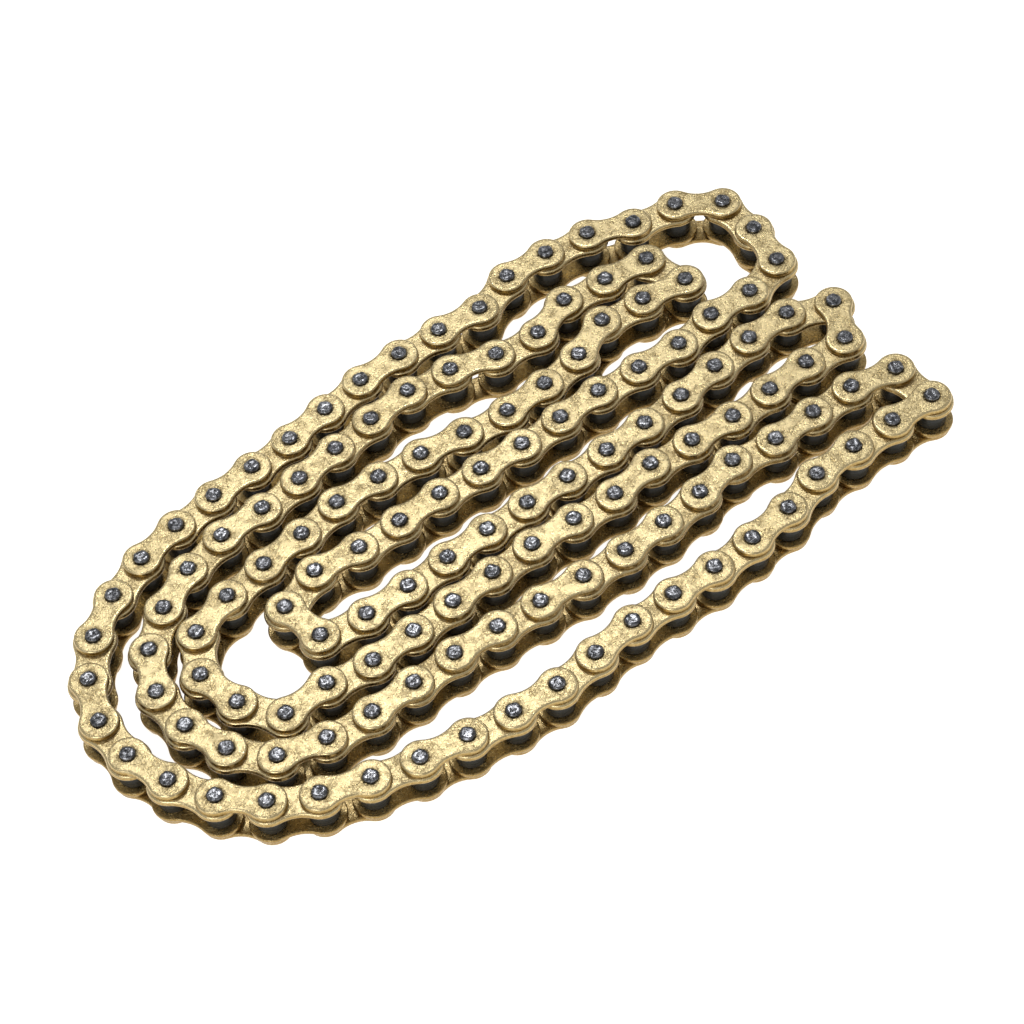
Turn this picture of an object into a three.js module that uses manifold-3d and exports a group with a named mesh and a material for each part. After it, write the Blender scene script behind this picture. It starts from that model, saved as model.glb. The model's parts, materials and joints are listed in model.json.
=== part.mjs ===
// Roller drive chain, size 420: an endless riveted loop of 134 pitches that lies flat in eight
// nested rows. Millimetres, +Z up, rows along X. The chain rests on its lower pin heads at z = 0,
// and the origin is under the middle of the whole layout.
//
// A chain repeats one pair of links. The outer link is two plates riveted on two pins. The inner
// link is two plates pressed on two bushes, and a roller turns on each bush. Each pin turns inside
// a bush. One whole pair is made here piece by piece, and the other 132 links are made as 50 runs
// of one to five links. Neighbouring runs are hinged on a real pin in a real bore.
import * as THREE from "three";
import { mergeVertices } from "three/addons/utils/BufferGeometryUtils.js";
import Module from "manifold-3d";

const wasm = await Module();
wasm.setup();

// ---- Driving dimensions ----

const PITCH = 12.7;
const LINK_COUNT = 134;

const INNER_WIDTH = 6.35; // between the two inner plates, for the sprocket tooth
const PLATE_THICKNESS = 1.45;
const PLATE_GAP = 0.3; // between an inner plate and the outer plate on top of it
const PIN_LENGTH = 14.7; // over both riveted heads
const PIN_RADIUS = 1.98;
const BUSH_BORE_RADIUS = 2.28;
const BUSH_RADIUS = 2.75;
const ROLLER_BORE_RADIUS = 3.05;
const ROLLER_RADIUS = 3.88;
const ROLLER_END_GAP = 0.3;
const PRESS_GAP = 0.12; // radial gap that keeps two pressed pieces from sharing faces

const INNER_END_RADIUS = 5.65;
const INNER_WAIST = 4.3; // half the plate's height in the middle
const OUTER_END_RADIUS = 5.1;
const OUTER_WAIST = 3.55;
const END_REACH = THREE.MathUtils.degToRad(112); // a plate's end is round this far from its tip

const FINE_END_STEPS = 10; // facets round each end of a separately made plate
const FINE_SIDES = 16; // sides of a separately made pin, bush or roller
const RUN_END_STEPS = 3; // facets round each plate end in a run
const RUN_SIDES = 5; // sides of the pins, bores and rollers in a run
const HIDDEN_SIDES = 4; // sides of the pin in the gap between two plates that a run joins

// Heights, from the chain's middle plane.
const INNER_PLATE_LOW = INNER_WIDTH / 2;
const INNER_PLATE_HIGH = INNER_PLATE_LOW + PLATE_THICKNESS;
const OUTER_PLATE_LOW = INNER_PLATE_HIGH + PLATE_GAP;
const OUTER_PLATE_HIGH = OUTER_PLATE_LOW + PLATE_THICKNESS;
const PIN_END = PIN_LENGTH / 2;
const BITE = 0.5; // how far one joined piece reaches into the next
const PAST = 1; // how far a cutting tool reaches past the piece it cuts
const SAME_PLACE = 1e-4; // corners closer than this are one corner

// ---- Where the chain lies ----

// Pins whose places set the layout, as [pin number, x, y], one row or turn to a line. The pins
// between two of them lie evenly along a smooth curve at first.
const ROUTE = [
  [0, 95, 7.5], [1, 82.5, 8.2], [2, 70, 6.5], [4, 45, 8.5], [6, 19, 8.3], [8, -6, 10], // row 1
  [10, -31, 10.3], [11, -44, 12], // row 1, its end
  [12, -56, 8], [13, -54, -4.5], // left turn 1
  [14, -42, -7], [17, -4, -6.8], [20, 34, -7.8], [22, 60, -7], [23, 72, -5.5], [25, 97.6, -4.6], // row 2
  [26, 109, -10], [27, 103, -21], // right turn 1
  [28, 90, -20.3], [30, 65, -21], [32, 39.2, -18.7], [33, 27, -19.6], [35, 1.7, -18], // row 3
  [37, -24, -18.4], [39, -49, -18.9], [40, -61, -17.1], // row 3, its end
  [41, -74, -17], [42, -81.2, -6.6], [43, -83.2, 5.8], [44, -76.7, 16.5], [45, -64.7, 20.4], // left turn 2
  [47, -39.7, 23.5], [48, -27, 25.1], [50, -2, 23.2], [52, 23, 19.4], [53, 35.7, 19.7], // row 4
  [54, 48.3, 21.3], [55, 60.1, 25.8], [56, 72.7, 24.4], // row 4, its end
  [57, 85.4, 22], [58, 82.3, 34.3], // right turn 2
  [59, 69.7, 36.3], [60, 57.2, 37.9], [61, 45, 34.2], [62, 32.6, 35.9], [63, 20.6, 39.8], // row 5
  [64, 8, 41.7], [66, -17, 39.3], [68, -42.3, 36.6], [69, -54.9, 36.7], // row 5, its end
  [70, -67.6, 34], [71, -79, 28.4], [72, -89.2, 20.5], // left turn 3, above
  [73, -94.8, 8.9], [74, -94.9, -3.8], [75, -91.2, -15.8], [76, -82.9, -25.9], [77, -70.8, -29.6], // below
  [78, -58, -30.9], [80, -32.5, -30.8], [82, -7.4, -32.8], [84, 17.7, -34.8], [86, 42.9, -33.6], // row 6
  [87, 55.4, -31.8], [88, 68, -33.6], [90, 93.4, -34], // row 6, its end
  [91, 105.8, -37.2], [92, 106.6, -49.9], // right turn 3
  [93, 94, -49], [95, 68.4, -49], [96, 56.1, -52], [98, 31, -53.4], [100, 5.4, -52.4], // row 7
  [102, -19.4, -54.5], [104, -44.9, -51.5], // row 7, its end
  [106, -69.7, -45.4], [108, -92.3, -34.5], [110, -107, -13.8], [112, -110.3, 11.5], // left turn 4, below
  [114, -97.5, 32.9], [116, -74.5, 44.6], [118, -49.4, 48.2], // left turn 4, above
  [120, -24.1, 49.7], [122, 1.3, 53], [124, 26.7, 52.3], [125, 39.4, 51.2], [126, 51.2, 54.4], // row 8
  [128, 76.2, 51.8], [129, 87.9, 46.6], [130, 100.2, 43.8], // row 8, its end
  [131, 110.1, 35.9], [132, 110.3, 23.2], [133, 107.6, 10.9], // closing loop
];
const PULL_SWEEPS = 20000; // enough for every link to come to one pitch within a micrometre

// The pin at which each run begins. A hinge stands there, except at pin 0, where the loop is open.
const RUN_STARTS = [
  0, 4, 8, // row 1
  12, // left turn 1
  13, 16, 19, 22, // row 2
  26, // right turn 1
  27, 31, 36, // row 3
  41, 42, 43, 44, // left turn 2
  45, 48, 51, 54, // row 4
  57, // right turn 2
  58, 61, 65, // row 5
  69, 71, 72, 73, 74, 76, // left turn 3
  78, 81, 84, 88, // row 6
  91, // right turn 3
  92, 97, 102, // row 7
  106, 108, 110, 112, 114, 116, // left turn 4
  118, 121, 124, 127, 130, 131, // row 8 and the closing loop
];
const OPEN_PIN = 0; // left without its shank, so that the two ends can part sideways
const DETAILED_OUTER_LINK = 132; // the link from pin 132 to pin 133
const DETAILED_INNER_LINK = 133; // the link from pin 133 to pin 0, which closes the loop

// All pins, first along the smooth curve and then pulled together or apart until each link is one
// pitch long, as the real links are.
function placePins() {
  const knots = ROUTE.map(([, x, y]) => new THREE.Vector3(x, y, 0));
  const curve = new THREE.CatmullRomCurve3(knots, true, "centripetal");
  const pins = [];
  ROUTE.forEach(([pin], k) => {
    const next = ROUTE[k + 1]?.[0] ?? LINK_COUNT;
    for (let i = pin; i < next; i++) {
      pins.push(curve.getPoint((k + (i - pin) / (next - pin)) / ROUTE.length));
    }
  });
  const along = new THREE.Vector3();
  for (let sweep = 0; sweep < PULL_SWEEPS; sweep++) {
    pins.forEach((pin, i) => {
      const next = pins[(i + 1) % LINK_COUNT];
      along.subVectors(next, pin);
      along.multiplyScalar((1 - PITCH / along.length()) / 2);
      pin.add(along);
      next.sub(along);
    });
  }
  return pins;
}

const PINS = placePins();
const pinAt = (i) => PINS[i % LINK_COUNT];
const isOuter = (link) => link % 2 === 0;

function heading(link) {
  const along = pinAt(link + 1).clone().sub(pinAt(link));
  return Math.atan2(along.y, along.x);
}

// ---- Solids ----

function toSolid(geometry) {
  geometry.deleteAttribute("normal");
  geometry.deleteAttribute("uv");
  const g = mergeVertices(geometry, SAME_PLACE);
  const vertProperties = g.attributes.position.array;
  const triVerts = new Uint32Array(g.index.array);
  return new wasm.Manifold(new wasm.Mesh({ numProp: 3, vertProperties, triVerts }));
}

function toGeometry(solid) {
  const mesh = solid.getMesh();
  const g = new THREE.BufferGeometry();
  g.setAttribute("position", new THREE.BufferAttribute(new Float32Array(mesh.vertProperties), 3));
  g.setIndex(new THREE.BufferAttribute(new Uint32Array(mesh.triVerts), 1));
  const flat = g.toNonIndexed();
  flat.computeVertexNormals();
  return flat;
}

// An upright prism of `sides` round (x, y), from z0 to z1, with its corners at `radius`.
function post(x, y, radius, z0, z1, sides) {
  const g = new THREE.CylinderGeometry(radius, radius, z1 - z0, sides);
  g.rotateX(Math.PI / 2);
  g.translate(x, y, (z0 + z1) / 2);
  return toSolid(g);
}

// A bore whose flats stay `radius` from its axis.
function bore(x, y, radius, z0, z1, sides) {
  return post(x, y, radius / Math.cos(Math.PI / sides), z0, z1, sides);
}

// A link plate: two round ends one pitch apart and a waist between them, along +X from (0, 0).
function plateShape(endRadius, waist, steps) {
  const shape = new THREE.Shape();
  for (let i = 0; i <= steps; i++) {
    const a = -END_REACH + (2 * END_REACH * i) / steps;
    const x = PITCH + endRadius * Math.cos(a);
    const y = endRadius * Math.sin(a);
    if (i === 0) shape.moveTo(x, y);
    else shape.lineTo(x, y);
  }
  shape.lineTo(PITCH / 2, waist);
  for (let i = 0; i <= steps; i++) {
    const a = Math.PI - END_REACH + (2 * END_REACH * i) / steps;
    shape.lineTo(endRadius * Math.cos(a), endRadius * Math.sin(a));
  }
  shape.lineTo(PITCH / 2, -waist);
  return shape;
}

function plate(outer, z0, steps) {
  const shape = outer
    ? plateShape(OUTER_END_RADIUS, OUTER_WAIST, steps)
    : plateShape(INNER_END_RADIUS, INNER_WAIST, steps);
  const g = new THREE.ExtrudeGeometry(shape, { depth: PLATE_THICKNESS, bevelEnabled: false });
  g.translate(0, 0, z0);
  return toSolid(g);
}

const plateBottoms = (outer) =>
  outer ? [OUTER_PLATE_LOW, -OUTER_PLATE_HIGH] : [INNER_PLATE_LOW, -INNER_PLATE_HIGH];

// ---- Runs of joined links ----

// Where a run's pin stands in the run's own frame: its first pin at 0, its first link along +X.
function inRun(first, pin) {
  const away = pinAt(pin).clone().sub(pinAt(first));
  return away.applyAxisAngle(new THREE.Vector3(0, 0, 1), -heading(first));
}

// The two plates of one link, placed in the frame of the run that begins at pin `first`.
function linkPlates(first, link) {
  const at = inRun(first, link);
  const turn = THREE.MathUtils.radToDeg(heading(link) - heading(first));
  return plateBottoms(isOuter(link)).map((z0) =>
    plate(isOuter(link), z0, RUN_END_STEPS).rotate([0, 0, turn]).translate([at.x, at.y, 0]),
  );
}

// The riveted head on an outer plate, on the upper side or the lower.
function runHead({ x, y }, upper) {
  const inside = OUTER_PLATE_HIGH - BITE;
  const [z0, z1] = upper ? [inside, PIN_END] : [-PIN_END, -inside];
  return post(x, y, PIN_RADIUS, z0, z1, RUN_SIDES);
}

// The roller with its bush, between the inner plates.
function runRoller({ x, y }) {
  const inside = INNER_PLATE_LOW + BITE;
  return post(x, y, ROLLER_RADIUS, -inside, inside, RUN_SIDES);
}

// The pin's stretch in the narrow gap between an inner plate and an outer plate that a run joins.
function gapPins({ x, y }) {
  const low = INNER_PLATE_HIGH - BITE;
  const high = OUTER_PLATE_LOW + BITE;
  return [
    post(x, y, PIN_RADIUS, low, high, HIDDEN_SIDES),
    post(x, y, PIN_RADIUS, -high, -low, HIDDEN_SIDES),
  ];
}

// The links from pin `first` to pin `last`, joined in one solid. At an end pin the run holds its own
// half of the hinge only: the pin on an outer link, or the bored roller on an inner link.
function runSolid(first, last) {
  const joined = [];
  const bores = [];
  for (let link = first; link < last; link++) joined.push(...linkPlates(first, link));
  for (let pin = first; pin <= last; pin++) {
    const at = inRun(first, pin);
    const between = pin > first && pin < last;
    const outer = isOuter(pin === last ? pin - 1 : pin);
    if (between) joined.push(runHead(at, true), runRoller(at), ...gapPins(at));
    else if (outer && pin === OPEN_PIN) joined.push(runHead(at, true), runHead(at, false));
    else if (outer) joined.push(post(at.x, at.y, PIN_RADIUS, -PIN_END, PIN_END, RUN_SIDES));
    else {
      joined.push(runRoller(at));
      bores.push(bore(at.x, at.y, BUSH_BORE_RADIUS, -PIN_END, PIN_END, RUN_SIDES));
    }
  }
  return bores.reduce((solid, hole) => solid.subtract(hole), wasm.Manifold.union(joined));
}

// ---- Pieces of the pair made piece by piece ----

function drilledPlate(outer, z0, holeRadius) {
  const z1 = z0 + PLATE_THICKNESS;
  const holes = [0, PITCH].map((x) => bore(x, 0, holeRadius, z0 - PAST, z1 + PAST, FINE_SIDES));
  return holes.reduce((solid, hole) => solid.subtract(hole), plate(outer, z0, FINE_END_STEPS));
}

function sleeve(x, radius, boreRadius, halfLength) {
  const halfHole = halfLength + PAST;
  const hole = bore(x, 0, boreRadius, -halfHole, halfHole, FINE_SIDES);
  return post(x, 0, radius, -halfLength, halfLength, FINE_SIDES).subtract(hole);
}

// ---- Materials ----

const steel = (color, roughness) => new THREE.MeshStandardMaterial({ color, roughness, metalness: 1 });
const goldPlating = () => steel(0xc9b27c, 0.38);
const pinSteel = () => steel(0x55585f, 0.35);
const bushSteel = () => steel(0x6a6a6c, 0.4);
const blackRoller = () => steel(0x17181a, 0.22);

// ---- Assembly ----

const chain = new THREE.Group();
chain.name = "drive_chain";
const layout = new THREE.Group();
chain.add(layout);

function addMesh(parent, name, solid, material) {
  const mesh = new THREE.Mesh(toGeometry(solid), material);
  mesh.name = name;
  parent.add(mesh);
}

// A group that stands on a pin, with its +X along the link that begins there.
function frameAt(pin) {
  const group = new THREE.Group();
  group.position.set(pinAt(pin).x, pinAt(pin).y, PIN_END);
  group.rotation.z = heading(pin);
  layout.add(group);
  return group;
}

RUN_STARTS.forEach((first, i) => {
  const last = RUN_STARTS[i + 1] ?? DETAILED_OUTER_LINK;
  const number = String(i + 1).padStart(2, "0");
  addMesh(frameAt(first), `link_run_${number}`, runSolid(first, last), goldPlating());
});

const outerLink = frameAt(DETAILED_OUTER_LINK);
const innerLink = frameAt(DETAILED_INNER_LINK);
["top", "bottom"].forEach((side, i) => {
  const outerPlate = drilledPlate(true, plateBottoms(true)[i], PIN_RADIUS + PRESS_GAP);
  const innerPlate = drilledPlate(false, plateBottoms(false)[i], BUSH_RADIUS + PRESS_GAP);
  addMesh(outerLink, `outer_plate_${side}`, outerPlate, goldPlating());
  addMesh(innerLink, `inner_plate_${side}`, innerPlate, goldPlating());
});
["first", "second"].forEach((which, i) => {
  const x = i * PITCH;
  const pin = post(x, 0, PIN_RADIUS, -PIN_END, PIN_END, FINE_SIDES);
  const bush = sleeve(x, BUSH_RADIUS, BUSH_BORE_RADIUS, INNER_PLATE_HIGH);
  const roller = sleeve(x, ROLLER_RADIUS, ROLLER_BORE_RADIUS, INNER_PLATE_LOW - ROLLER_END_GAP);
  addMesh(outerLink, `pin_${which}`, pin, pinSteel());
  addMesh(innerLink, `bush_${which}`, bush, bushSteel());
  addMesh(innerLink, `roller_${which}`, roller, blackRoller());
});

// The origin goes under the middle of the layout's box.
const box = new THREE.Box3().setFromObject(layout, true);
layout.position.set(-(box.min.x + box.max.x) / 2, -(box.min.y + box.max.y) / 2, 0);

export default chain;
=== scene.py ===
"""The looks of the drive chain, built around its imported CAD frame.

Every link of the chain is made as the real one is: two plates on two riveted pins, or two plates
on two bushes with two rollers. The places of the pins come from the CAD frame, and each piece
rides on the body of the link that holds it.
"""

import json
import math
import random

import bpy
import numpy as np
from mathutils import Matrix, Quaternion, Vector
from mathutils.geometry import tessellate_polygon


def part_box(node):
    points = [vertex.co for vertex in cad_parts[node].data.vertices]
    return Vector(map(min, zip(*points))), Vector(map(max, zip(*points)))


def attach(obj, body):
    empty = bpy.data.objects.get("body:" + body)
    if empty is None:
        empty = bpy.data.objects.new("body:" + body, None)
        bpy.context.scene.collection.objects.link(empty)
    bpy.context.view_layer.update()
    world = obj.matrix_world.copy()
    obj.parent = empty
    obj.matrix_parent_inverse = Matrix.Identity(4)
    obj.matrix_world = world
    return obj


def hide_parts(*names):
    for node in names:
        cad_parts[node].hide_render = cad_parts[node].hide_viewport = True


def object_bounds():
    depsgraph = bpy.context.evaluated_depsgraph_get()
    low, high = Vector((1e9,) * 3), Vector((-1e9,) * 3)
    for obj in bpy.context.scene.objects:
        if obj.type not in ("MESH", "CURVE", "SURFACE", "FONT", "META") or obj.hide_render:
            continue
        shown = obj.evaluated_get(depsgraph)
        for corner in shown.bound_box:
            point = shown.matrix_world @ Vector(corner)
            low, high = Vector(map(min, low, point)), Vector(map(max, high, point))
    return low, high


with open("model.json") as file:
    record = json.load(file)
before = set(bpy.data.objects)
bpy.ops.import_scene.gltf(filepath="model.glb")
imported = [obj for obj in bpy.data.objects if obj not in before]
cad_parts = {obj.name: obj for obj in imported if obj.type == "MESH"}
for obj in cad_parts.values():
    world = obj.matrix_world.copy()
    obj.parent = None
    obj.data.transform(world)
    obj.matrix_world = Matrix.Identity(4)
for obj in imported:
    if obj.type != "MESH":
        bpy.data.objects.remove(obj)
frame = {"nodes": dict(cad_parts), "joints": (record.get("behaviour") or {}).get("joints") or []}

cad_low, cad_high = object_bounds()

# ---- Sizes of a 420 chain's pieces, in millimetres ----

MM = 0.001
PITCH = 12.7
LINK_COUNT = 134
MIDDLE = 7.35  # height of the chain's middle plane over the floor

PLATE = 1.45
INNER_LOW = 3.175  # heights from the middle plane
OUTER_LOW = 4.925
PIN_END = 7.35

INNER_END_RADIUS, INNER_WAIST = 5.65, 4.3
OUTER_END_RADIUS, OUTER_WAIST = 5.1, 3.55
PIN_RADIUS = 1.98
BUSH_RADIUS, BUSH_BORE = 2.75, 2.06
ROLLER_RADIUS, ROLLER_BORE = 3.88, 2.87
ROLLER_HALF = 3.03
PIN_PLAY, BUSH_PLAY = 0.05, 0.02
ROLLER_ROUNDING, BUSH_ROUNDING = 0.35, 0.12

END_POINTS = 24  # along each round end of a plate's outline
WAIST_POINTS = 7  # along each hollow side of it
HOLE_POINTS = 24
ROLLER_POINTS, BUSH_POINTS = 32, 20


# ---- Where the pins stand ----

TOP_LAYER = 0.02  # how far under the CAD's top a corner still counts as on it
SAME_PIN = 1  # heads nearer than this to a pin are its own
HEAD_SPREAD = 2.2 * PIN_RADIUS  # corners nearer than this are on one head
DECIMALS = 7  # of a metre: corners that agree to these are one


def head_tops(node):
    """The middles of the pin heads that a CAD node holds, from the corners of their flat tops."""
    corners = np.array([v.co for v in frame["nodes"][node].data.vertices])
    top = corners[corners[:, 2] > cad_high.z - TOP_LAYER * MM][:, :2]
    groups = []
    for corner in np.unique(top.round(DECIMALS), axis=0):
        for group in groups:
            if np.linalg.norm(group[0] - corner) < HEAD_SPREAD * MM:
                group.append(corner)
                break
        else:
            groups.append([corner])
    return [np.mean(group, axis=0) / MM for group in groups]


def middle_of(node):
    low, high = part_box(node)
    return np.array([low.x + high.x, low.y + high.y]) / 2 / MM


def pin_places(starts, hinges):
    """Every pin's place, walking each run of links one pitch at a time from its first pin."""
    places = {0: middle_of("roller_second"), LINK_COUNT - 1: middle_of("roller_first")}
    for number, (first, last) in enumerate(zip(starts, starts[1:]), 1):
        places.setdefault(first, hinges.get(first))
        here = places[first]
        heads = head_tops(f"link_run_{number:02d}")
        heads = [head for head in heads if np.linalg.norm(head - here) > SAME_PIN]
        for pin in range(first + 1, last):
            misfit = [abs(np.linalg.norm(head - here) - PITCH) for head in heads]
            here = heads.pop(misfit.index(min(misfit)))
            places[pin] = here
        places[last] = hinges[last]
    return [places[i] for i in range(LINK_COUNT)]


hinges = {
    int(joint["name"][-3:]): np.array(joint["pos_m"][:2]) / MM
    for joint in frame["joints"]
    if joint["name"].startswith("hinge_pin_")
}
starts = [0, *sorted(hinges)]
pins = pin_places(starts, hinges)


def heading(link):
    along = pins[(link + 1) % LINK_COUNT] - pins[link]
    return math.atan2(along[1], along[0])


# ---- Shapes, in millimetres, each as corners, faces and values painted on the corners ----

PAINTS = ("rim", "side", "stain", "tone", "lower")


class Shape:
    def __init__(self):
        self.corners, self.faces = [], []
        self.paints = {name: [] for name in PAINTS}

    def add(self, points, **paints):
        """Adds corners and returns their numbers."""
        first = len(self.corners)
        self.corners.extend(points)
        for name in PAINTS:
            self.paints[name].extend([paints.get(name, 0.0)] * len(points))
        return list(range(first, len(self.corners)))

    def strip(self, lower, upper):
        """Faces between two closed rings of the same length, facing out where the rings go
        anticlockwise and the second one is higher."""
        n = len(lower)
        for i in range(n):
            j = (i + 1) % n
            self.faces.append((lower[i], lower[j], upper[j], upper[i]))

    def cap(self, rings, up):
        """A flat face bounded by the first ring, with the other rings as holes."""
        loops = [[Vector(self.corners[i]) for i in ring] for ring in rings]
        flat = [i for ring in rings for i in ring]
        for a, b, c in tessellate_polygon(loops):
            p, q, r = (Vector(self.corners[flat[k]]) for k in (a, b, c))
            facing_up = (q - p).cross(r - p).z > 0
            face = (flat[a], flat[b], flat[c])
            self.faces.append(face if facing_up == up else face[::-1])

    def placed(self, x, y, turn, z0, flip=False, tone=0.0):
        """A copy turned about the vertical, stood at (x, y), and for flip mirrored in the middle
            plane and marked as a lower one, which the gold darkens with painted shade."""
        c = np.array(self.corners, float)
        c[:, 2] += z0
        cos, sin = math.cos(turn), math.sin(turn)
        moved = np.empty_like(c)
        moved[:, 0] = x + c[:, 0] * cos - c[:, 1] * sin
        moved[:, 1] = y + c[:, 0] * sin + c[:, 1] * cos
        moved[:, 2] = MIDDLE + (-c[:, 2] if flip else c[:, 2])
        faces = [f[::-1] for f in self.faces] if flip else self.faces
        paints = {name: np.array(self.paints[name]) for name in PAINTS}
        paints["tone"] = np.full(len(c), tone)
        paints["lower"] = np.full(len(c), float(flip))
        return moved, faces, paints


def outline(end_radius, waist, inset):
    """A plate's outline, drawn in by inset: two round ends, with hollow sides tangent to them."""
    half = PITCH / 2
    hollow = (half ** 2 + waist ** 2 - end_radius ** 2) / (2 * (end_radius - waist))
    tangent = math.atan2(waist + hollow, half)
    r, h = end_radius - inset, hollow + inset
    points = []
    for side in (1, -1):
        x0 = half + side * half
        start = -(math.pi - tangent) if side > 0 else tangent
        for i in range(END_POINTS):
            a = start + (2 * math.pi - 2 * tangent) * i / (END_POINTS - 1)
            points.append((x0 + r * math.cos(a), r * math.sin(a)))
        centre = side * (waist + hollow)
        first = -tangent if side > 0 else math.pi - tangent
        for i in range(1, WAIST_POINTS + 1):
            a = first - (math.pi - 2 * tangent) * i / (WAIST_POINTS + 1)
            points.append((half + h * math.cos(a), centre + h * math.sin(a)))
    return points


def circle(x, radius, count):
    return [
        (x + radius * math.cos(2 * math.pi * i / count), radius * math.sin(2 * math.pi * i / count))
        for i in range(count)
    ]


UNDERCUT = 0.08  # how far the upper part of a punched side stands back
FLAT_MARGIN = 0.35  # width of the flat band inside the rounded rim

# The edge of a punched plate, from its hidden face to its shown face: how far in, how high, and
#  how much it counts as rim, lightened with a painted highlight, and as side, darkened with painted
#  shade. The lower part stands proud where the punch tore it.
ROUNDING = 0.42
EDGE = [
    (0.45, 0.0, 0.0, 0.0),
    (0.14, 0.0, 0.3, 0.4),
    (0.03, 0.10, 0.2, 1.0),
    (0.0, 0.45, 0.1, 1.0),
    (0.02, 0.62, 0.5, 1.0),
    (UNDERCUT, 0.70, 0.0, 1.0),
    (UNDERCUT, PLATE - ROUNDING, 0.3, 0.8),
    (UNDERCUT + ROUNDING * 0.14, PLATE - ROUNDING * 0.5, 0.9, 0.4),
    (UNDERCUT + ROUNDING * 0.45, PLATE - ROUNDING * 0.14, 1.0, 0.1),
    (UNDERCUT + ROUNDING, PLATE, 0.6, 0.0),
    (UNDERCUT + ROUNDING + FLAT_MARGIN, PLATE, 0.0, 0.0),
]

# A bore and the stained ring round it, from the hidden face up and out: how much wider than the
# hole, how high, and how stained.
LIP = 0.08
HOLE_RINGS = [
    (0.0, 0.0, 0.0),
    (0.0, PLATE - LIP, 1.0),
    (LIP, PLATE, 1.0),
    (0.45, PLATE, 0.75),
    (1.1, PLATE, 0.0),
]


def plate_shape(end_radius, waist, hole):
    shape = Shape()
    rings = []
    for inset, z, rim, side in EDGE:
        points = [(x, y, z) for x, y in outline(end_radius, waist, inset)]
        rings.append(shape.add(points, rim=rim, side=side))
    for lower, upper in zip(rings, rings[1:]):
        shape.strip(lower, upper)
    under, over = [rings[0]], [rings[-1]]
    for x in (0, PITCH):
        bore = []
        for wider, z, stain in HOLE_RINGS:
            points = [(px, py, z) for px, py in circle(x, hole + wider, HOLE_POINTS)]
            bore.append(shape.add(points, stain=stain))
        for inner, outer in zip(bore, bore[1:]):
            shape.strip(outer, inner)
        under.append(bore[0])
        over.append(bore[-1])
    shape.cap(under, up=False)
    shape.cap(over, up=True)
    return shape


def turned_shape(profile, count):
    """A body of revolution about the vertical through (0, 0). The profile runs up the outside and
    down the bore, as (radius, height, rim)."""
    shape = Shape()
    rings = []
    for radius, z, rim in profile:
        rings.append(shape.add([(x, y, z) for x, y in circle(0, radius, count)], rim=rim))
    for lower, upper in zip(rings, rings[1:] + rings[:1]):
        shape.strip(lower, upper)
    return shape


ROUND_STEPS = 3
BORE_BEVEL = 0.1


def tube_shape(radius, bore, half, rounding, count):
    """A tube from -half to half, rounded at its outer ends and bevelled into its bore."""
    profile = []
    for step in range(ROUND_STEPS + 1):
        a = -math.pi / 2 + math.pi / 2 * step / ROUND_STEPS
        r = radius - rounding + rounding * math.cos(a)
        profile.append((r, -half + rounding + rounding * math.sin(a), 1.0))
    profile += [(r, -z, rim) for r, z, rim in reversed(profile)]
    mouth = bore + BORE_BEVEL
    profile += [(mouth, half, 0.5), (bore, half - BORE_BEVEL, 0.0)]
    profile += [(bore, -half + BORE_BEVEL, 0.0), (mouth, -half, 0.5)]
    return turned_shape(profile, count)


# A riveted pin end above its plate: height as a share of what stands proud, radius, and how
# square the punch has made it.
HEAD_RINGS = [
    (0.0, 2.02, 0.0),
    (0.10, 2.06, 0.0),
    (0.30, 2.00, 0.0),
    (0.50, 1.98, 0.15),
    (0.70, 1.80, 0.6),
    (0.86, 1.58, 1.0),
    (0.97, 1.38, 1.0),
    (1.0, 1.22, 1.0),
    (0.96, 0.70, 0.6),
]
HEAD_POINTS = 28
FOOT_DEPTH = 0.3  # how far a head's foot reaches under its plate's face
SQUIRCLE_POWER = 5
SQUARENESS = 0.85
WOBBLE = 0.03
BUMPS = 5
TILT = 0.07  # how much lower the punch leaves one side, as a share of the head's height
DIMPLE_LEVEL, DIMPLE_SPREAD = 0.9, 0.06


def pin_head(chance):
    """One riveted end, from its plate's face up, as a Shape whose first ring is its foot."""
    shape = Shape()
    foot = OUTER_LOW + PLATE - FOOT_DEPTH
    proud = PIN_END - OUTER_LOW - PLATE
    turn = chance.uniform(0, math.pi / 2)
    lean = chance.uniform(0, 2 * math.pi)
    bumps = [(chance.uniform(0, 2 * math.pi), chance.uniform(0.4, 1.0)) for _ in range(BUMPS)]
    rings = [shape.add([(x, y, foot) for x, y in circle(0, PIN_RADIUS, HEAD_POINTS)])]
    for share, radius, square in HEAD_RINGS:
        points = []
        for i in range(HEAD_POINTS):
            a = 2 * math.pi * i / HEAD_POINTS
            cos, sin = abs(math.cos(a - turn)), abs(math.sin(a - turn))
            squircle = (cos ** SQUIRCLE_POWER + sin ** SQUIRCLE_POWER) ** (-1 / SQUIRCLE_POWER)
            wave = sum(w * math.cos((k + 2) * a - p) for k, (p, w) in enumerate(bumps)) / 2
            r = radius * (1 + square * (squircle - 1) * SQUARENESS)
            r *= 1 + WOBBLE * share * wave
            sink = TILT * square * (1 + math.cos(a - lean)) / 2
            z = foot + FOOT_DEPTH + proud * (share - sink)
            points.append((r * math.cos(a), r * math.sin(a), z))
        rings.append(shape.add(points, rim=share))
    level = DIMPLE_LEVEL - DIMPLE_SPREAD * chance.random()
    middle = shape.add([(0.0, 0.0, foot + FOOT_DEPTH + proud * level)], rim=0.4)
    for lower, upper in zip(rings, rings[1:]):
        shape.strip(lower, upper)
    last = rings[-1]
    for i in range(HEAD_POINTS):
        shape.faces.append((last[i], last[(i + 1) % HEAD_POINTS], middle[0]))
    return shape


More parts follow.
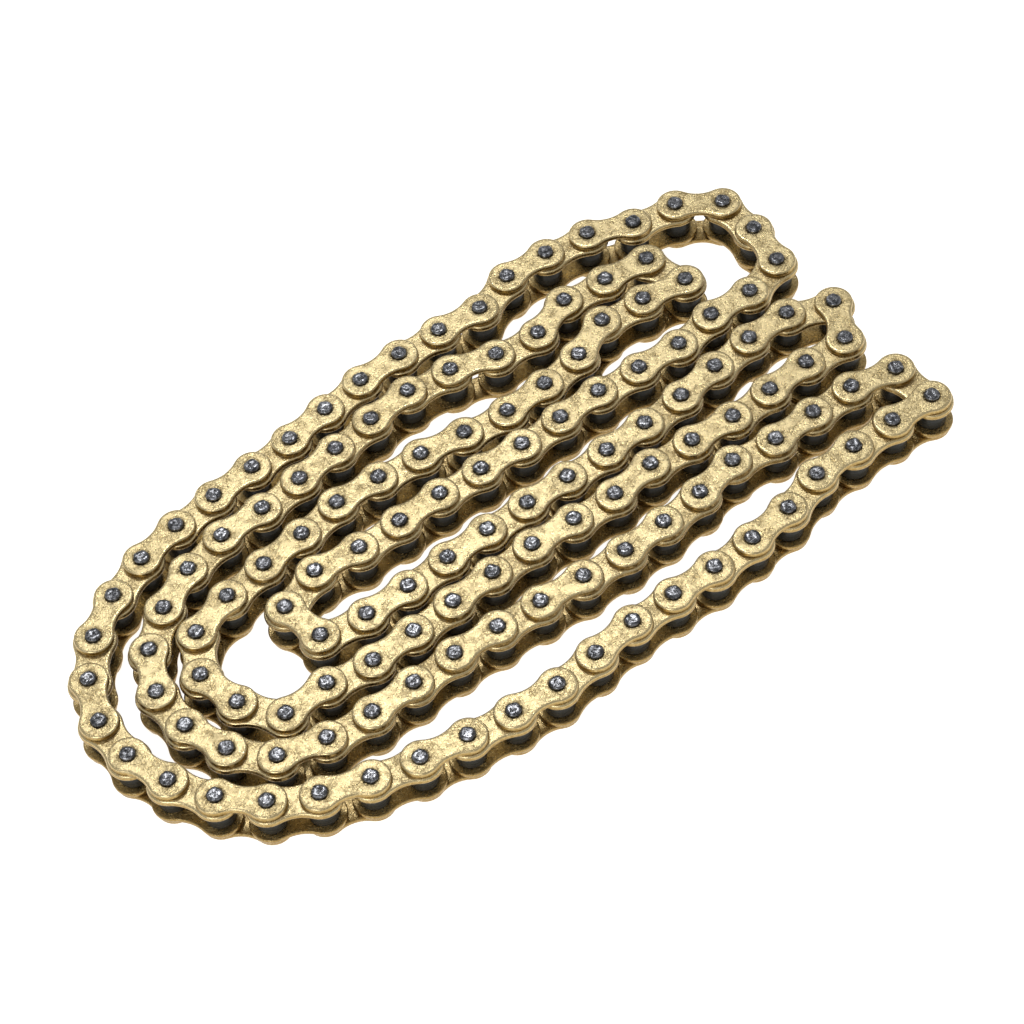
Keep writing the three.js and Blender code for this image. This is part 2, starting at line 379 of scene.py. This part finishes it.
def pin_shape(chance, shank=True):
    """A whole pin: its upper head, its lower head and the shank between their feet. Without the
    shank it is the pivot at which the loop opens: two ends that stop at the plates' inner faces."""
    upper, lower = pin_head(chance), pin_head(chance)
    whole = Shape()
    count = len(upper.corners)
    for head, sign in ((upper, 1), (lower, -1)):
        whole.corners.extend((x, y, sign * z) for x, y, z in head.corners)
        for name in PAINTS:
            whole.paints[name].extend(head.paints[name])
    whole.faces.extend(upper.faces)
    whole.faces.extend(tuple(i + count for i in face[::-1]) for face in lower.faces)
    upper_foot = list(range(HEAD_POINTS))
    lower_foot = [count + i for i in upper_foot]
    if shank:
        whole.strip(lower_foot, upper_foot)
        return whole
    for foot, sign in ((upper_foot, 1), (lower_foot, -1)):
        end = whole.add([(x, y, sign * OUTER_LOW) for x, y in circle(0, PIN_RADIUS, HEAD_POINTS)])
        whole.strip(*((end, foot) if sign > 0 else (foot, end)))
        whole.cap([end], up=sign < 0)
    return whole


outer_plate = plate_shape(OUTER_END_RADIUS, OUTER_WAIST, PIN_RADIUS + PIN_PLAY)
inner_plate = plate_shape(INNER_END_RADIUS, INNER_WAIST, BUSH_RADIUS)
roller = tube_shape(ROLLER_RADIUS, ROLLER_BORE, ROLLER_HALF, ROLLER_ROUNDING, ROLLER_POINTS)
bush = tube_shape(BUSH_RADIUS - BUSH_PLAY, BUSH_BORE, INNER_LOW + PLATE, BUSH_ROUNDING, BUSH_POINTS)


# ---- Materials ----

def new_material(name, **values):
    """A material with one Principled shader. Returns it, its node tree and the shader."""
    material = bpy.data.materials.new(name)
    material.use_nodes = True
    tree = material.node_tree
    shader = tree.nodes["Principled BSDF"]
    for socket, value in values.items():
        shader.inputs[socket.replace("_", " ")].default_value = value
    return material, tree, shader


class Nodes:
    """Short calls for the nodes that the materials below are made of. Textures are laid in
    millimetres of the object, so that a noise of scale 1 has features of about 1 mm."""

    def __init__(self, tree):
        self.tree = tree
        where = tree.nodes.new("ShaderNodeTexCoord")
        self.place = self.scaled(where.outputs["Object"], (1 / MM, 1 / MM, 1 / MM))

    def link(self, value, socket):
        if isinstance(value, bpy.types.NodeSocket):
            self.tree.links.new(value, socket)
        else:
            socket.default_value = value

    def scaled(self, vector, scale, turn=(0, 0, 0)):
        node = self.tree.nodes.new("ShaderNodeMapping")
        self.link(vector, node.inputs["Vector"])
        node.inputs["Scale"].default_value = scale
        node.inputs["Rotation"].default_value = turn
        return node.outputs[0]

    def noise(self, scale, detail=4.0, roughness=0.55, distortion=0.0, vector=None):
        node = self.tree.nodes.new("ShaderNodeTexNoise")
        self.link(vector or self.place, node.inputs["Vector"])
        node.inputs["Scale"].default_value = scale
        node.inputs["Detail"].default_value = detail
        node.inputs["Roughness"].default_value = roughness
        node.inputs["Distortion"].default_value = distortion
        return node.outputs["Fac"]

    def cells(self, scale):
        node = self.tree.nodes.new("ShaderNodeTexVoronoi")
        self.link(self.place, node.inputs["Vector"])
        node.inputs["Scale"].default_value = scale
        return node.outputs["Distance"]

    def paint(self, name):
        node = self.tree.nodes.new("ShaderNodeAttribute")
        node.attribute_name = name
        return node.outputs["Fac"]

    def ramp(self, value, low, high, to_low=0.0, to_high=1.0):
        node = self.tree.nodes.new("ShaderNodeMapRange")
        node.interpolation_type = "SMOOTHSTEP"
        for socket, number in zip(node.inputs, (value, low, high, to_low, to_high)):
            self.link(number, socket)
        return node.outputs[0]

    def maths(self, operation, a, b=0.0):
        node = self.tree.nodes.new("ShaderNodeMath")
        node.operation = operation
        self.link(a, node.inputs[0])
        self.link(b, node.inputs[1])
        return node.outputs[0]

    def mix(self, share, a, b):
        node = self.tree.nodes.new("ShaderNodeMix")
        node.data_type = "RGBA"
        colours = [s for s in node.inputs if s.type == "RGBA"]
        self.link(share, node.inputs[0])
        for value, socket in zip((a, b), colours):
            self.link(value if isinstance(value, bpy.types.NodeSocket) else (*value, 1.0), socket)
        return next(s for s in node.outputs if s.type == "RGBA")

    def bump(self, height, depth, strength=1.0):
        node = self.tree.nodes.new("ShaderNodeBump")
        self.link(height, node.inputs["Height"])
        node.inputs["Distance"].default_value = depth * MM
        node.inputs["Strength"].default_value = strength
        return node.outputs[0]


GOLD_LIGHT = (0.86, 0.71, 0.40)
GOLD = (0.70, 0.57, 0.30)
GOLD_DARK = (0.32, 0.20, 0.06)
GOLD_SIDE_SHADE = (0.36, 0.235, 0.075)
OIL_STAIN = (0.13, 0.09, 0.04)
STEEL_DARK, STEEL_LIGHT = (0.09, 0.093, 0.10), (0.32, 0.325, 0.345)
CREASE, STEEL_SPECK, HEAD_FOOT = (0.05, 0.048, 0.05), (0.06, 0.06, 0.065), (0.04, 0.035, 0.03)
ROLLER_DARK, ROLLER_LIGHT = (0.004, 0.005, 0.005), (0.016, 0.019, 0.018)
ROLLER_WORN = (0.05, 0.047, 0.04)
BUSH_DARK, BUSH_LIGHT = (0.16, 0.15, 0.14), (0.34, 0.33, 0.31)

PLATE_RELIEF, PIN_RELIEF, TURNED_RELIEF = 0.105, 0.13, 0.02  # depths of the bump, in millimetres


def gold_plating():
    """Thin gold plating over a tumbled steel stamping: mottled, pitted and scratched, with a
    painted highlight on the rounded rim, painted shade in darker brown on the sheared sides and
    painted shade on the lower plates, and stained with oil round the pins."""
    material, tree, shader = new_material("gold_plating", Metallic=1.0)
    n = Nodes(tree)
    patches = n.noise(0.3, detail=2)
    mottle = n.noise(1.5, detail=3, roughness=0.6)
    grain = n.noise(3.0, detail=2, roughness=0.6)
    pits = n.ramp(n.cells(1.0), 0.06, 0.22, 1.0, 0.0)
    pits = n.maths("MULTIPLY", pits, n.ramp(n.noise(0.7, detail=1), 0.5, 0.62))
    lines = []
    for turn in (0.6, 1.7, 2.7):
        turned = n.scaled(n.place, (1, 1, 1), (0, 0, turn))
        strokes = n.noise(1.0, detail=1, vector=n.scaled(turned, (0.16, 1.5, 1.0)))
        away = n.maths("ABSOLUTE", n.maths("SUBTRACT", strokes, 0.5))
        lines.append(n.ramp(away, 0.0, 0.03, 1.0, 0.0))
    scratches = n.maths("MAXIMUM", n.maths("MAXIMUM", lines[0], lines[1]), lines[2])
    scratches = n.maths("MULTIPLY", scratches, n.ramp(patches, 0.42, 0.6))
    rim, side, stain, tone, lower = (n.paint(name) for name in PAINTS)

    colour = n.mix(n.ramp(mottle, 0.34, 0.62), GOLD, GOLD_LIGHT)
    colour = n.mix(n.ramp(patches, 0.4, 0.7, 0.0, 0.1), colour, GOLD_DARK)
    colour = n.mix(n.maths("MULTIPLY", n.ramp(grain, 0.56, 0.72), 0.32), colour, GOLD_DARK)
    colour = n.mix(n.maths("MULTIPLY", pits, 0.9), colour, GOLD_DARK)
    colour = n.mix(n.maths("MULTIPLY", scratches, 0.5), colour, GOLD_DARK)
    # Painted highlight: the rounded rim is lightened towards GOLD_LIGHT.
    colour = n.mix(n.maths("MULTIPLY", rim, 0.8), colour, GOLD_LIGHT)
    # Painted shade: the sheared sides are darkened to a brown gold, mottled.
    colour = n.mix(n.maths("MULTIPLY", side, n.ramp(mottle, 0.3, 0.6, 0.7, 1.0)), colour, GOLD_SIDE_SHADE)
    spread = n.maths("MULTIPLY", stain, n.ramp(n.noise(1.1, detail=6), 0.38, 0.6, 0.2, 1.0))
    colour = n.mix(spread, colour, OIL_STAIN)
    colour = n.mix(n.maths("MULTIPLY", tone, 0.12), colour, GOLD_DARK)
    # Painted shade: the lower plates are darkened towards GOLD_DARK, mottled.
    lower_plate_shade = n.maths("MULTIPLY", lower, n.ramp(mottle, 0.35, 0.65, 0.3, 0.7))
    colour = n.mix(lower_plate_shade, colour, GOLD_DARK)
    n.link(colour, shader.inputs["Base Color"])

    rough = n.maths("ADD", n.ramp(mottle, 0.3, 0.7, 0.2, 0.36), n.maths("MULTIPLY", grain, 0.08))
    rough = n.maths("ADD", rough, n.maths("MULTIPLY", pits, 0.2))
    rough = n.maths("SUBTRACT", rough, n.maths("MULTIPLY", rim, 0.08))
    n.link(rough, shader.inputs["Roughness"])

    height = n.maths("ADD", n.maths("MULTIPLY", mottle, 1.0), n.maths("MULTIPLY", grain, 0.35))
    height = n.maths("SUBTRACT", height, n.maths("MULTIPLY", pits, 0.7))
    height = n.maths("SUBTRACT", height, n.maths("MULTIPLY", scratches, 0.35))
    smooth = n.maths("SUBTRACT", 1.0, n.maths("MULTIPLY", n.maths("MAXIMUM", rim, side), 0.8))
    n.link(n.bump(n.maths("MULTIPLY", height, smooth), PLATE_RELIEF), shader.inputs["Normal"])
    return material


def pin_steel():
    """Hardened steel darkened by heat, with the bright flats and creases of the riveting punch."""
    material, tree, shader = new_material("pin_steel", Metallic=1.0)
    n = Nodes(tree)
    mottle = n.noise(0.9, detail=3, roughness=0.5)
    grain = n.noise(5.0, detail=4, roughness=0.7)
    creases = n.maths("ABSOLUTE", n.maths("SUBTRACT", n.noise(0.6, detail=1, distortion=0.8), 0.5))
    crease = n.ramp(creases, 0.0, 0.035, 1.0, 0.0)
    rim = n.paint("rim")
    colour = n.mix(n.ramp(mottle, 0.38, 0.62), STEEL_DARK, STEEL_LIGHT)
    colour = n.mix(n.maths("MULTIPLY", crease, 0.6), colour, CREASE)
    colour = n.mix(n.maths("MULTIPLY", n.ramp(grain, 0.52, 0.66), 0.5), colour, STEEL_SPECK)
    near_foot = n.ramp(rim, 0.0, 0.35, 1.0, 0.0)
    colour = n.mix(n.maths("MULTIPLY", near_foot, 0.8), colour, HEAD_FOOT)
    n.link(colour, shader.inputs["Base Color"])
    n.link(n.ramp(grain, 0.3, 0.7, 0.14, 0.36), shader.inputs["Roughness"])
    height = n.maths("SUBTRACT", n.maths("ADD", mottle, n.maths("MULTIPLY", grain, 0.15)), crease)
    n.link(n.bump(height, PIN_RELIEF), shader.inputs["Normal"])
    return material


def black_roller():
    """Blackened steel under a film of oil, polished in bands where it rolls."""
    material, tree, shader = new_material("black_roller", Metallic=0.0, Specular_IOR_Level=0.12)
    n = Nodes(tree)
    bands = n.noise(1.0, detail=4, vector=n.scaled(n.place, (0.5, 0.5, 5.0)))
    film = n.noise(0.9, detail=5, distortion=0.8)
    colour = n.mix(n.ramp(film, 0.35, 0.7), ROLLER_DARK, ROLLER_LIGHT)
    colour = n.mix(n.maths("MULTIPLY", n.paint("rim"), 0.5), colour, ROLLER_WORN)
    n.link(colour, shader.inputs["Base Color"])
    n.link(n.ramp(bands, 0.3, 0.7, 0.16, 0.36), shader.inputs["Roughness"])
    n.link(n.bump(n.maths("ADD", bands, film), TURNED_RELIEF), shader.inputs["Normal"])
    return material


def bush_steel():
    """Plain hardened steel, ground and wet with oil."""
    material, tree, shader = new_material("bush_steel", Metallic=1.0)
    n = Nodes(tree)
    rings = n.noise(1.0, detail=4, vector=n.scaled(n.place, (0.6, 0.6, 8.0)))
    colour = n.mix(n.ramp(rings, 0.3, 0.7), BUSH_DARK, BUSH_LIGHT)
    n.link(colour, shader.inputs["Base Color"])
    n.link(n.ramp(rings, 0.3, 0.7, 0.25, 0.42), shader.inputs["Roughness"])
    n.link(n.bump(rings, TURNED_RELIEF), shader.inputs["Normal"])
    return material


gold, pin_metal = gold_plating(), pin_steel()
roller_black, bush_metal = black_roller(), bush_steel()


# ---- Pieces ----

SHARP = math.radians(50)


def make_piece(name, copies, materials, body, nodes=()):
    """Joins placed shapes into one object. Each copy is (corners, faces, paints, material number).
    Shading stays sharp where faces meet at more than SHARP."""
    corners = np.concatenate([c[0] for c in copies]) * MM
    faces, numbers, first = [], [], 0
    for points, some, _, number in copies:
        faces.extend(tuple(i + first for i in face) for face in some)
        numbers.extend([number] * len(some))
        first += len(points)
    mesh = bpy.data.meshes.new(name)
    mesh.from_pydata(corners.tolist(), [], faces)
    for paint in PAINTS:
        values = np.concatenate([c[2][paint] for c in copies]).astype(np.float32)
        mesh.attributes.new(paint, "FLOAT", "POINT").data.foreach_set("value", values)
    for material in materials:
        mesh.materials.append(material)
    mesh.polygons.foreach_set("material_index", numbers)
    mesh.polygons.foreach_set("use_smooth", [True] * len(faces))
    mesh.set_sharp_from_angle(angle=SHARP)
    mesh.update()
    piece = bpy.data.objects.new(name, mesh)
    bpy.context.scene.collection.objects.link(piece)
    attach(piece, body)
    if nodes:
        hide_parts(*nodes)


def plate_copies(link, tone):
    """The upper and the lower plate of a link."""
    x, y = pins[link]
    shape, z0 = (outer_plate, OUTER_LOW) if link % 2 == 0 else (inner_plate, INNER_LOW)
    return [
        (*shape.placed(x, y, heading(link), z0, tone=tone), 0),
        (*shape.placed(x, y, heading(link), z0, flip=True, tone=1 - tone), 0),
    ]


SEED = 420
chance = random.Random(SEED)
tones = [chance.random() for _ in range(LINK_COUNT)]
OPEN_PIVOT = 0
pin_copies = []
for pin, (x, y) in enumerate(pins):
    shape = pin_shape(chance, shank=pin != OPEN_PIVOT)
    pin_copies.append((*shape.placed(x, y, 0, 0), 0))


def copies_at(shape, pin, number=0):
    x, y = pins[pin % LINK_COUNT]
    return (*shape.placed(x, y, tones[pin % LINK_COUNT] * math.tau, 0), number)


for number, (first, last) in enumerate(zip(starts, starts[1:]), 1):
    run = f"link_run_{number:02d}"
    plates, shafts, rolls = [], [], []
    for link in range(first, last):
        plates += plate_copies(link, tones[link])
        for pin in (link, link + 1):
            if link % 2 == 0:
                shafts.append(pin_copies[pin])
            else:
                rolls += [copies_at(roller, pin), copies_at(bush, pin, 1)]
    make_piece(f"{run}_plates", plates, [gold], run, [run])
    if shafts:
        make_piece(f"{run}_pins", shafts, [pin_metal], run)
    if rolls:
        metals = [roller_black, bush_metal]
        make_piece(f"{run}_rollers_on_bushes", rolls, metals, run)

# The last pair of links, piece by piece.
OUTER, INNER = LINK_COUNT - 2, LINK_COUNT - 1
outer_plates, inner_plates = (plate_copies(link, tones[link]) for link in (OUTER, INNER))
for k, side in enumerate(("top", "bottom")):
    for which, copy in (("outer", outer_plates[k]), ("inner", inner_plates[k])):
        node = f"{which}_plate_{side}"
        make_piece(f"{node}_plated", [copy], [gold], f"{which}_link", [node])
for step, which in enumerate(("first", "second")):
    riveted = pin_copies[OUTER + step]
    sleeve, turned = copies_at(bush, INNER + step), copies_at(roller, INNER + step)
    pin, tube, wheel = f"pin_{which}", f"bush_{which}", f"roller_{which}"
    make_piece(f"{pin}_riveted", [riveted], [pin_metal], "outer_link", [pin])
    make_piece(f"{tube}_pressed", [sleeve], [bush_metal], "inner_link", [tube])
    make_piece(f"{wheel}_oiled", [turned], [roller_black], wheel, [wheel])


# ---- Floor, light and camera ----

FLOOR_REACH = 4.0  # metres from the middle to each side
FLOOR_GREY = (0.75, 0.75, 0.75, 1)
FLOOR_GLOW = 0.9  # light that the paper gives off, so that shadows on it stay pale


def make_floor():
    material, _, shader = new_material("floor_white", Roughness=0.9)
    shader.inputs["Base Color"].default_value = FLOOR_GREY
    shader.inputs["Emission Color"].default_value = (1, 1, 1, 1)
    shader.inputs["Emission Strength"].default_value = FLOOR_GLOW
    mesh = bpy.data.meshes.new("floor")
    signs = ((-1, -1), (1, -1), (1, 1), (-1, 1))
    corners = [(sx * FLOOR_REACH, sy * FLOOR_REACH, 0) for sx, sy in signs]
    mesh.from_pydata(corners, [], [(0, 1, 2, 3)])
    mesh.materials.append(material)
    floor = bpy.data.objects.new("floor", mesh)
    bpy.context.scene.collection.objects.link(floor)


CHAIN_MIDDLE = Vector((0, 0, 0.007))


def softbox(name, place, size, power):
    """A rectangular lamp that faces the middle of the chain, in metres and watts."""
    lamp = bpy.data.lights.new(name, "AREA")
    lamp.shape = "RECTANGLE"
    lamp.size, lamp.size_y = size
    lamp.energy = power
    light = bpy.data.objects.new(name, lamp)
    light.location = place
    light.rotation_euler = (CHAIN_MIDDLE - Vector(place)).to_track_quat("-Z", "Y").to_euler()
    bpy.context.scene.collection.objects.link(light)


make_floor()
softbox("key_softbox", place=(0.20, 0.42, 0.95), size=(0.26, 0.18), power=2.2)
softbox("fill_softbox", place=(-1.0, -0.5, 0.9), size=(0.6, 0.6), power=4)

SKY = 0.41  # strength of the even white light from all round
world = bpy.data.worlds.new("studio")
world.use_nodes = True
world.node_tree.nodes["Background"].inputs["Color"].default_value = (1, 1, 1, 1)
world.node_tree.nodes["Background"].inputs["Strength"].default_value = SKY
bpy.context.scene.world = world
bpy.context.scene.view_settings.view_transform = "Standard"

CAMERA_AT = Vector((-0.2510, -0.4148, 0.6656))
CAMERA_AIM = Vector((0.00348, -0.00746, 0.0147))
CAMERA_ROLL = math.radians(-8.03)
camera_data = bpy.data.cameras.new("camera")
camera_data.lens, camera_data.sensor_width = 113.53, 36  # millimetres
camera_data.clip_start, camera_data.clip_end = 0.01, 20  # metres
camera = bpy.data.objects.new("camera", camera_data)
camera.rotation_mode = "QUATERNION"
camera.location = CAMERA_AT
level = (CAMERA_AIM - CAMERA_AT).to_track_quat("-Z", "Y")
camera.rotation_quaternion = level @ Quaternion((0, 0, 1), CAMERA_ROLL)
bpy.context.scene.collection.objects.link(camera)
bpy.context.scene.camera = camera
